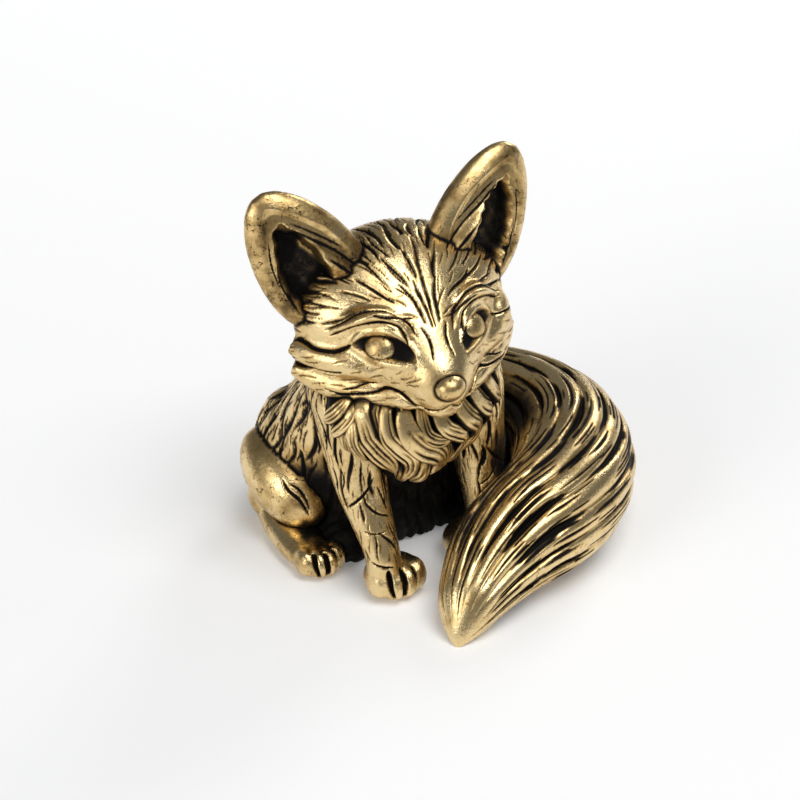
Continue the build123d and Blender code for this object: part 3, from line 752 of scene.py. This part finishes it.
def lock(path, outwards, width, height, lines):
    """Rings of points of one curled lock, flat-topped and lined, and how dark each point is: its lines dark
    with soot, and its underside and edges painted dark as shade.
    """
    share = np.linspace(0, 1, len(path))
    way = unit(np.gradient(path, axis=0))
    across = unit(np.cross(way, outwards))
    up = np.cross(across, way)
    opening = 0.55 + 0.45 * np.sin(np.minimum(share / 0.4, 1) * math.pi / 2)
    closing = 1 - np.clip((share - 0.55) / 0.45, 0, 1) ** 2.2
    full = np.maximum(opening * closing, 0.03)
    turn = np.linspace(0, 2 * math.pi, LOCK_SIDES, endpoint=False)
    side = np.cos(turn)
    top = np.sin(turn) > 0.02
    rise = np.where(top, np.abs(np.sin(turn)) ** 0.55, -0.5 * np.abs(np.sin(turn)))
    lined = np.zeros((len(path), LOCK_SIDES))
    for place, start, end in lines:
        cut = np.clip(1 - np.abs(side - place) / 0.13, 0, 1) * top
        lens = np.sin(math.pi * np.clip((share - start) / (end - start), 0, 1)) ** 0.6
        lined = np.maximum(lined, lens[:, None] * cut)
    thick = height * full**0.6
    rings = (
        path[:, None]
        + across[:, None] * (side * (width / 2 * full)[:, None])[..., None]
        + up[:, None] * ((rise - 0.45 * lined) * thick[:, None])[..., None]
    )
    # Painted shade on the sides and the underside of each lock.
    shaded_edge = np.clip((np.abs(side) - 0.82) / 0.16, 0, 1) * 0.85
    dark = np.maximum(np.maximum(lined * 1.2, shaded_edge), np.where(top, 0, 1))
    return rings, np.clip(dark, 0, 1)


lock_pieces = []
lock_dark = []
for stand, wide, places in RUFF_LOCKS:
    angle, height = between(places, 6).T
    angle = np.radians(angle)
    hang = np.linspace(0, 1, len(angle))
    outwards = unit(np.stack([np.sin(angle), -np.cos(angle), 0.25 * np.ones_like(angle)], -1))
    path = on_ruff(angle, height) + outwards * (stand + 0.5 * np.sin(hang * 1.9))[:, None]
    lines = [
        (-0.55, ruff_random.uniform(0.0, 0.3), ruff_random.uniform(0.6, 0.95)),
        (-0.05, ruff_random.uniform(0.0, 0.5), ruff_random.uniform(0.7, 1.0)),
        (0.50, ruff_random.uniform(0.2, 0.5), ruff_random.uniform(0.75, 1.0)),
    ]
    rings, dark = lock(path, outwards, wide, ruff_random.uniform(0.55, 0.75), lines)
    lock_pieces.append(shell("lock", rings))
    lock_dark.append(np.concatenate([dark.ravel(), [1.0, 0.2]]))
# Painted shade: the base of the ruff is painted black all over, so the gaps between the locks read as
# shade.
ruff_base.soot_and_shade += 1.0
bpy.ops.object.select_all(action="DESELECT")
for piece in [ruff_base.piece] + lock_pieces:
    piece.select_set(True)
bpy.context.view_layer.objects.active = ruff_base.piece
bpy.ops.object.join()
ruff = Skin(ruff_base.piece)
ruff.piece.name = "chest_ruff_looks"
ruff.soot_and_shade = np.concatenate([ruff_base.soot_and_shade] + lock_dark)
ruff.cell = 0.25
set_in_place(ruff, fur_brass, "chest_ruff")

# Forelegs: shoulder, leg and paw with four toes, each leg one casting set against the chest.
# Lens-shaped cuts run down the leg, and dark slots part the toes. The left leg stands further back.
SHOULDER = np.array([-6.3, -4.2, 15.4])
WRISTS = {"right": np.array([-5.6, -10.4, 4.2]), "left": np.array([-5.6, -8.0, 4.2])}
PAW_SIZE = np.array([6.0, 5.6, 4.0])
PAW_TOES = 4
FORE_TOE_LONG = 3.2
TOE_SLOT = {"shape": 0.6, "taper": 0.25, "ink": 0.95}
LEG_LINES = [
    (0.30, 0.30, [(-8.0, -8.0, 9.2), (-7.5, -8.4, 9.9), (-6.7, -8.6, 11.0), (-6.0, -8.4, 12.2)]),
    (0.26, 0.28, [(-7.0, -8.4, 11.1), (-6.9, -8.9, 9.7), (-6.2, -9.6, 8.8), (-4.9, -9.7, 8.1)]),
    (0.26, 0.26, [(-5.8, -8.6, 11.2), (-5.3, -9.0, 9.8), (-5.1, -9.4, 8.7)]),
    (0.22, 0.24, [(-8.3, -6.8, 12.9), (-8.1, -7.2, 11.8), (-8.1, -7.2, 10.6)]),
    (0.16, 0.14, [(-7.3, -9.8, 7.3), (-6.6, -10.4, 7.0), (-5.6, -10.6, 7.2)]),
    (0.32, 0.32, [(-6.3, -10.6, 7.0), (-5.5, -11.1, 6.3), (-4.9, -11.5, 5.4)]),
    (0.26, 0.26, [(-7.0, -11.1, 4.6), (-6.3, -11.6, 4.2), (-5.6, -12.2, 4.05)]),
]
LEG_LINE_FINE = 0.8
LEG_LINE = {"soot_and_shade": 0.95, "shape": 1.3, "taper": 0.5, "ink": 0.7}


def paw(middle_x, front, size, toe_long):
    """Lumps for a paw on the table with its toes along the front, and where the slots between them go."""
    wide, long, tall = size
    lumps = [lump((middle_x, front + long / 2, tall * 0.44), size)]
    slots = []
    for number in range(PAW_TOES):
        share = (number + 0.5) / PAW_TOES - 0.5
        curve = 2 * share * share * toe_long
        place = (middle_x + 0.84 * share * wide, front + toe_long * 0.40 + curve, tall * 0.46)
        lumps.append(lump(place, (0.38 * wide, toe_long, tall * 0.86)))
        if number:
            gap = number / PAW_TOES - 0.5
            back = 2 * gap * gap * toe_long
            x = middle_x + 0.88 * gap * wide
            slots.append([
                (x, front + back - 0.5, 0.1),
                (x, front + back - 0.2, tall * 0.42),
                (x, front + back + toe_long * 0.15, tall * 0.8),
                (x, front + back + toe_long * 0.32, tall * 0.95),
            ])
    return lumps, slots


leg_random = np.random.default_rng(31)


def down_the_leg(point):
    return np.array([0.0, -0.35, -1.0])


def shoulder_fur(points, normals):
    return points[:, 2] > 12.5


def leg_fur(points, normals):
    return (points[:, 2] > 5.6) & (points[:, 2] < 22)


for name, side in SIDES:
    shoulder, wrist = mirrored([SHOULDER, WRISTS[name]], side)
    elbow = (shoulder + wrist) / 2 + np.array([side * 0.4, 0.6, 0])
    leg = swell(
        f"{name}_foreleg",
        [
            ((wrist[0], wrist[1], 1.2), (1.8, 0, 0), (0, 2.0, 0)),
            (wrist + np.array([side * 0.3, 0, 0.5]), (1.75, 0, 0), (0, 1.95, 0)),
            (elbow, (2.5, 0, 0), (0, 2.8, 0)),
            (shoulder + np.array([0, 0.7, 0]), (3.1, 0, 0), (0, 4.4, 0)),
            (shoulder + np.array([side * 0.4, 1.9, 3.0]), (2.9, 0, 0), (0, 4.4, 0)),
            (shoulder + np.array([side * 0.2, 2.4, 5.6]), (1.9, 0, 0), (0, 2.8, 0)),
        ],
    )
    lumps, slots = paw(wrist[0] - side * 0.9, wrist[1] - PAW_SIZE[1] / 2, PAW_SIZE, FORE_TOE_LONG)
    foreleg = Skin(grow_together(f"{name}_foreleg_looks", [leg] + lumps, voxel=0.24, rounding=9))
    for points in slots:
        foreleg.groove(foreleg.line(points), 0.31, 0.65, **TOE_SLOT)
    for width, depth, points in LEG_LINES:
        places = mirrored(points, side)
        places[:, 1] += (wrist[1] - WRISTS["right"][1]) * (1 - places[:, 2] / SHOULDER[2])
        path = foreleg.line(places)
        foreleg.groove(path, width * LEG_LINE_FINE, depth * LEG_LINE_FINE, **LEG_LINE)
    foreleg.fur(shoulder_fur, down_the_leg, (3.4, 0.95), 4.0, 0.40, 0.34, leg_random, 0.4)
    foreleg.fur(leg_fur, down_the_leg, (4.2, 1.3), 2.6, 0.2, 0.16, leg_random, 0.28)
    if side == LEFT:
        # Painted shade: the low outer side of the left leg, behind the tail, is painted dark where the tail
        # shades it.
        shade_behind_tail = np.clip((foreleg.points[:, 0] - 6.0) / 1.2, 0, 1)
        shade_behind_tail *= np.clip((14.5 - foreleg.points[:, 2]) / 4, 0, 1)
        foreleg.soot_and_shade = np.maximum(foreleg.soot_and_shade, 0.9 * shade_behind_tail)
    foreleg.fur(leg_fur, down_the_leg, (2.0, 0.5), 1.7, 0.14, 0.07, leg_random, 0.3, 0.6)
    set_in_place(foreleg, fur_brass, f"{name}_foreleg")

# Thighs: smooth swellings of muscle on each side of the rump, rubbed brightest of all.
# Each is cast by itself and set against the torso, and two lens-shaped cuts mark the knee.
THIGH_MIDDLE = np.array([-10.3, 3.1, 6.3])
THIGH_SIZE = (7.4, 12.0, 7.2)
THIGH_PITCH = math.radians(26)
THIGH_SPLAY = math.radians(12)
HIP_MIDDLE = np.array([-9.7, 5.9, 6.5])
HIP_SIZE = (6.4, 8.4, 7.0)
THIGH_TARNISH = 0.1
KNEE_LINES = [
    (0.34, 0.34, [(-11.9, 0.1, 8.5), (-11.7, -1.1, 7.6), (-10.8, -2.2, 6.7), (-10.0, -2.9, 4.8)]),
    (0.28, 0.28, [(-11.5, -0.7, 8.1), (-10.7, -1.4, 7.8), (-10.2, -2.1, 7.0), (-9.95, -2.7, 5.4)]),
]
for name, side in SIDES:
    middle, hip = mirrored([THIGH_MIDDLE, HIP_MIDDLE], side)
    muscle = [lump(middle, THIGH_SIZE, (THIGH_PITCH, 0, -side * THIGH_SPLAY)), lump(hip, HIP_SIZE)]
    thigh = Skin(grow_together(f"{name}_thigh_looks", muscle, voxel=0.26, rounding=14))
    for width, depth, points in KNEE_LINES:
        thigh.groove(thigh.line(mirrored(points, side)), width, depth)
    thigh.soot_and_shade = np.maximum(thigh.soot_and_shade, THIGH_TARNISH)
    set_in_place(thigh, polished_brass, f"{name}_thigh")

# Hind feet: long feet of brass flat on the table, with four toes parted by dark slots.
# Each is cast by itself with its hock and set under the thigh.
FOOT_MIDDLE_X = 10.0
HEEL_OUT = 0.6
FOOT_FRONT = -6.9
FOOT_SIZE = np.array([5.0, 14.6, 3.4])
HOCK_MIDDLE = (-10.7, 5.6, 2.7)
HOCK_SIZE = (4.8, 5.4, 4.8)
HIND_TOE_LONG = 3.0
for name, side in SIDES:
    lumps, slots = paw(side * FOOT_MIDDLE_X, FOOT_FRONT, FOOT_SIZE, HIND_TOE_LONG)
    lumps[0].location.x += side * HEEL_OUT
    lumps.append(lump(mirrored(HOCK_MIDDLE, side), HOCK_SIZE))
    foot = Skin(grow_together(f"{name}_hind_foot_looks", lumps, voxel=0.22, rounding=9))
    for points in slots:
        foot.groove(foot.line(points), 0.3, 0.6, **TOE_SLOT)
    # Painted shade: the top of each foot behind the toes, on its inner half by the body, is painted dark
    # where the thigh and body shade it.
    shade_behind_toes = np.clip((foot.points[:, 1] - FOOT_FRONT - 2.8) / 1.2, 0, 1)
    shade_inner_half = np.clip((FOOT_MIDDLE_X + 1.5 - np.abs(foot.points[:, 0])) / 0.9, 0, 1)
    foot.soot_and_shade = np.maximum(foot.soot_and_shade, 0.85 * shade_behind_toes * shade_inner_half)
    set_in_place(foot, polished_brass, f"{name}_hind_foot")

# Tail: a full brush that comes round the fox's left side and ends in a smooth tip in front.
# Long locks twist along it, with deep dark furrows between them. It is cast by itself and set in
# the rump.
CURL_MIDDLE = np.array([4.3, -1.0])
CURL_HALF = np.array([13.3, 12.8])
TAIL_ROOT_ANGLE = math.radians(125)
TAIL_LEAVE_ANGLE = math.radians(-72)
TAIL_RUN = 13.3
TAIL_SWEEP = 4.3
TAIL_DIAMETERS = (6.4, 12.2, 3.2)
TAIL_FULLEST = 0.6
TAIL_NARROWING = 2.9
TAIL_BLUNT = 0.955
TAIL_RINGS = 430
TAIL_SIDES = 224
TAIL_LOCKS = 16
TAIL_TWIST = -0.020
TAIL_WAVE = 0.06
TAIL_STANCE = 0.44
ROOT_RISE = 2.2
curl_length = (TAIL_ROOT_ANGLE - TAIL_LEAVE_ANGLE) * CURL_HALF.mean()
tail_length = curl_length + TAIL_RUN
tail_share = np.linspace(0, 1, TAIL_RINGS)
millimetres = tail_share * tail_length
angle = TAIL_ROOT_ANGLE + (TAIL_LEAVE_ANGLE - TAIL_ROOT_ANGLE) * np.minimum(millimetres / curl_length, 1)
run = np.maximum(millimetres - curl_length, 0)
along = unit(np.stack([CURL_HALF[0] * np.sin(angle), -CURL_HALF[1] * np.cos(angle)], 1))
outwards = np.stack([-along[:, 1], along[:, 0]], 1)
spine = CURL_MIDDLE + CURL_HALF * np.stack([np.cos(angle), np.sin(angle)], 1)
spine += along * run[:, None] + outwards * (TAIL_SWEEP * (run / TAIL_RUN) ** 2)[:, None]
along = unit(along + outwards * (2 * TAIL_SWEEP * run / TAIL_RUN**2)[:, None])
root_diameter, full_diameter, tip_diameter = TAIL_DIAMETERS
swelling = np.sin(np.pi / 2 * np.minimum(tail_share / TAIL_FULLEST, 1))
narrowing = (np.maximum(tail_share - TAIL_FULLEST, 0) / (1 - TAIL_FULLEST)) ** TAIL_NARROWING
rising = root_diameter + (full_diameter - root_diameter) * swelling
falling = (full_diameter - tip_diameter) * narrowing
blunt = np.sqrt(1 - np.clip((tail_share - TAIL_BLUNT) / (1 - TAIL_BLUNT), 0, 0.999) ** 2)
diameter = (rising - falling) * blunt
lift = diameter * TAIL_STANCE + ROOT_RISE * (1 - tail_share)
spine = np.column_stack([spine, lift])
along = np.column_stack([along, np.zeros(TAIL_RINGS)])
inwards = np.column_stack([along[:, 1], -along[:, 0], np.zeros(TAIL_RINGS)])
upwards = np.array([0, 0, 1.0])
turn = np.linspace(0, 2 * math.pi, TAIL_SIDES, endpoint=False)
twisted = turn + (TAIL_TWIST * millimetres + TAIL_WAVE * np.sin(millimetres / 3.7))[:, None]
ring_out = np.cos(twisted)[..., None] * inwards[:, None] + np.sin(twisted)[..., None] * upwards
tail_rings = spine[:, None] + ring_out * (diameter / 2)[:, None, None]
tail = Skin(shell("tail_looks", tail_rings))
tail_random = np.random.default_rng(47)
thin = np.clip(diameter / 9, 0.3, 1)
bare_tip = np.clip((tail_length - millimetres - 1.0) / 3.0, 0, 1)
crest = np.abs(np.sin(TAIL_LOCKS / 2 * turn))[None, :] ** 0.55
cut = 0.42 * (thin * bare_tip)[:, None] * (1 - crest)
soot_and_shade = np.zeros((TAIL_RINGS, TAIL_SIDES))


def furrow(start, long, at, width, depth, ink):
    """A lens-shaped furrow between two locks, which twists round the tail as they do."""
    share = (millimetres - start) / long
    inside = (share > 0) & (share < 1)
    lens = np.sin(math.pi * np.clip(share, 0, 1)) ** 0.7
    apart = (turn - at + math.pi) % (2 * math.pi) - math.pi
    gap = np.abs(apart) * (diameter / 2)[:, None]
    ratio = gap / np.maximum(width * thin * lens, 0.03)[:, None]
    bed = depth * (thin * lens)[:, None] * np.clip(1 - ratio, 0, 1) ** 1.2 * inside[:, None]
    np.maximum(cut, bed, out=cut)
    black = np.minimum(lens * 1.6, 1)[:, None] * np.clip((ink - ratio) / 0.25, 0, 1) * inside[:, None]
    np.maximum(soot_and_shade, black, out=soot_and_shade)


def furrows(columns, offset, lengths, gaps, width, depth, ink):
    """Furrows end to end in columns along the tail, which stop short of its smooth tip."""
    for column in range(columns):
        start = -tail_random.uniform(*lengths) * 0.8
        while start < tail_length - 6:
            long = min(tail_random.uniform(*lengths), tail_length - 0.4 - start)
            at = 2 * math.pi * (column + offset + tail_random.uniform(-0.1, 0.1)) / columns
            wide = width * tail_random.uniform(0.7, 1.2)
            deep = depth * tail_random.uniform(0.75, 1.1)
            furrow(start, long, at, wide, deep, ink)
            start += long + tail_random.uniform(*gaps)


furrows(TAIL_LOCKS, 0.0, (7.0, 14.0), (-2.0, 1.5), 0.66, 0.9, 0.68)
furrows(TAIL_LOCKS, 0.36, (4.0, 9.0), (0.5, 5.0), 0.30, 0.22, 0.65)
furrows(TAIL_LOCKS, 0.68, (3.0, 7.0), (0.5, 6.0), 0.26, 0.17, 0.65)
furrows(2 * TAIL_LOCKS, 0.4, (2.0, 5.0), (2.0, 8.0), 0.20, 0.10, 0.6)
# Painted shade: the side of the tail that faces the body, over its first part, is painted dark where it
# lies in the flank's shade.
shaded_inner_side = np.clip((np.cos(twisted) - 0.3) / 0.4, 0, 1)
shaded_inner_side = shaded_inner_side * np.clip((0.62 - tail_share) / 0.1, 0, 1)[:, None]
soot_and_shade = np.maximum(soot_and_shade, 0.8 * shaded_inner_side)
tail.cut[: cut.size] = cut.ravel()
tail.soot_and_shade[: soot_and_shade.size] = soot_and_shade.ravel()
set_in_place(tail, fur_brass, "tail")

# Antiquing: the whole fox is dipped in a dark bath, then rubbed, so the dark stays where a cloth can't
# reach. What little sky each place sees is measured and kept with its soot, partly as that dark and partly
# as painted shade under the parts and between them.
SKY_REACH = 4.0
CREASE = 0.32
SKY_RAYS = 18
RAY_START = 0.12
FAR_FADE = 0.6
SKY_SPREAD = 16
GRID = 1024
SHADE_AND_GRIME_FROM = 0.36
SHADE_AND_GRIME_RUN = 0.42
JOINT_DARK = 0.9
DIP_AND_SHADE = 0.98
HOLLOW_STAIN = 0.25
SHADE_STAIN = 0.12
every_point = np.vstack([skin.points for skin in skins])
every_face = []
passed = 0
for skin in skins:
    every_face += [[passed + corner for corner in face] for face in skin.faces]
    passed += len(skin.points)
whole = BVHTree.FromPolygons(every_point.tolist(), every_face)
golden = math.pi * (3 - math.sqrt(5))
lifted = np.sqrt((np.arange(SKY_RAYS) + 0.5) / SKY_RAYS)
spun = golden * np.arange(SKY_RAYS)
fan = np.stack([lifted * np.cos(spun), lifted * np.sin(spun), np.sqrt(1 - lifted**2)], 1)


def shut_in(skin):
    """How much of the sky over each place of a skin is hidden by the fox itself."""
    cells = np.floor(skin.points / skin.cell).astype(np.int64) + GRID // 2
    facing = np.abs(skin.normals).argmax(1)
    facing = facing * 2 + (skin.normals[np.arange(len(facing)), facing] > 0)
    keys = ((cells[:, 0] * GRID + cells[:, 1]) * GRID + cells[:, 2]) * 6 + facing
    _, first, member = np.unique(keys, return_index=True, return_inverse=True)
    hidden = np.zeros(len(first))
    for number, index in enumerate(first):
        normal = skin.normals[index]
        across = unit(np.cross(normal, (0.31, 0.52, 0.80)))
        rays = fan @ np.stack([across, np.cross(normal, across), normal])
        start = Vector(skin.points[index] + normal * RAY_START)
        for ray in rays:
            hit = whole.ray_cast(start, Vector(ray), SKY_REACH)
            if hit[0] is not None:
                hidden[number] += 1 - FAR_FADE * hit[3] / SKY_REACH
    return skin.blurred(hidden[member] / SKY_RAYS, SKY_SPREAD)


def crease(skin):
    """How close each place of a skin lies to the skin of another piece."""
    close = np.zeros(len(skin.points))
    for other in skins:
        if other is skin:
            continue
        low = other.points.min(0) - CREASE
        high = other.points.max(0) + CREASE
        for index in np.where(((skin.points > low) & (skin.points < high)).all(1))[0]:
            gap = other.surface.find_nearest(Vector(skin.points[index]), CREASE)[3]
            if gap is not None:
                close[index] = max(close[index], 1 - gap / CREASE)
    return close


for skin in skins:
    hidden = np.zeros(len(skin.points))
    joint = np.zeros(len(skin.points))
    if not skin.rubbed:
        hidden = shut_in(skin)
        joint = crease(skin)
    # Places that see little sky are darkened: partly dark left by the bath, partly painted shade.
    shade_and_grime = np.clip((hidden - SHADE_AND_GRIME_FROM) / SHADE_AND_GRIME_RUN, 0, 1)
    dark = np.maximum(np.maximum(skin.soot_and_shade, shade_and_grime), joint * JOINT_DARK)
    patina_and_shade = np.clip(dark * DIP_AND_SHADE + skin.hollow * HOLLOW_STAIN + hidden * SHADE_STAIN, 0, 1)
    layer = skin.piece.data.attributes.new("patina_and_shade", "FLOAT", "POINT")
    layer.data.foreach_set("value", patina_and_shade.astype(np.float32))

# Dowels: short lengths of drawn brass rod that locate the castings for soldering.
# They lie inside the joints and don't show when the fox is whole.
rod_brass = bpy.data.materials.new("brass_rod")
rod_brass.use_nodes = True
rod_shader = rod_brass.node_tree.nodes["Principled BSDF"]
rod_shader.inputs["Base Color"].default_value = (0.80, 0.62, 0.32, 1)
rod_shader.inputs["Metallic"].default_value = 1.0
rod_shader.inputs["Roughness"].default_value = 0.35
for name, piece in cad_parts.items():
    if "dowel" in name:
        piece.data.materials.clear()
        piece.data.materials.append(rod_brass)

# Floor, lamps and camera: a plain white paper table in soft studio light, seen from the fox's front
# right. The paper looks whiter to the camera, and in the brass, towards the back and further off.
FLOOR_SIZE = 4
FRONT_GLOW = 0.14
BACK_GLOW = 0.34
BACK_FROM_FOX = 0.14
FAR_GLOW = 0.6
FAR_FROM = 0.12
FAR_TO = 0.8
bpy.ops.mesh.primitive_plane_add(size=FLOOR_SIZE, location=(0, 0, 0))
floor = bpy.context.active_object
floor.name = "floor"
paper = bpy.data.materials.new("white_paper")
paper.use_nodes = True
paper_tree = paper.node_tree
on_floor = paper_tree.nodes.new("ShaderNodeTexCoord").outputs["Object"]
back = node(paper_tree, "ShaderNodeSeparateXYZ", Vector=on_floor).outputs["Y"]
distance = node(paper_tree, "ShaderNodeVectorMath", Vector=on_floor)
distance.operation = "LENGTH"
glow = stretch(paper_tree, back, 0.0, BACK_FROM_FOX, FRONT_GLOW, BACK_GLOW)
horizon = stretch(paper_tree, distance.outputs["Value"], FAR_FROM, FAR_TO, 0.0, FAR_GLOW)
pale = reckon(paper_tree, "ADD", glow, horizon)
seen = paper_tree.nodes.new("ShaderNodeLightPath").outputs
lit = 0.0
for ray in ("Is Camera Ray", "Is Glossy Ray", "Is Transmission Ray"):
    lit = reckon(paper_tree, "MULTIPLY_ADD", seen[ray], pale, lit)
paper_shader = paper_tree.nodes["Principled BSDF"].inputs
feed(paper_tree, paper_shader["Base Color"], (0.9, 0.9, 0.9, 1))
feed(paper_tree, paper_shader["Roughness"], 0.8)
feed(paper_tree, paper_shader["Emission Color"], (1, 1, 1, 1))
feed(paper_tree, paper_shader["Emission Strength"], lit)
floor.data.materials.append(paper)

world = bpy.data.worlds.new("studio")
world.use_nodes = True
daylight = world.node_tree.nodes["Background"].inputs
daylight["Color"].default_value = (0.75, 0.77, 0.80, 1)
daylight["Strength"].default_value = 0.20
bpy.context.scene.world = world


def lamp(name, place, aim, size, power):
    """A round soft lamp at a place, turned towards its aim."""
    light = bpy.data.lights.new(name, "AREA")
    light.shape = "DISK"
    light.size = size
    light.energy = power
    holder = bpy.data.objects.new(name, light)
    bpy.context.collection.objects.link(holder)
    holder.location = place
    holder.rotation_euler = (Vector(aim) - Vector(place)).to_track_quat("-Z", "Y").to_euler()


FOX = (0, 0, 0.017)
lamp("key", (0.07, -0.17, 0.46), FOX, 0.34, 1.55)
lamp("fill", (-0.40, -0.16, 0.20), FOX, 0.26, 0.65)
lamp("rim", (0.34, 0.22, 0.24), FOX, 0.18, 0.45)

AIM = Vector((-0.80, -3.155, 16.28)) * MM
AZIMUTH = math.radians(-24)
ELEVATION = math.radians(33)
DISTANCE = 320 * MM
FOCAL_LENGTH = 151.2
FILM_WIDTH = 36
film = bpy.data.cameras.new("camera")
film.lens = FOCAL_LENGTH
film.sensor_width = FILM_WIDTH
film.clip_start = 0.01
camera = bpy.data.objects.new("camera", film)
bpy.context.collection.objects.link(camera)
level_reach = math.cos(ELEVATION)
back_off = Vector((math.sin(AZIMUTH) * level_reach, -math.cos(AZIMUTH) * level_reach, math.sin(ELEVATION)))
camera.location = AIM + back_off * DISTANCE
camera.rotation_euler = (-back_off).to_track_quat("-Z", "Y").to_euler()
bpy.context.scene.camera = camera
bpy.context.scene.view_settings.view_transform = "Standard"
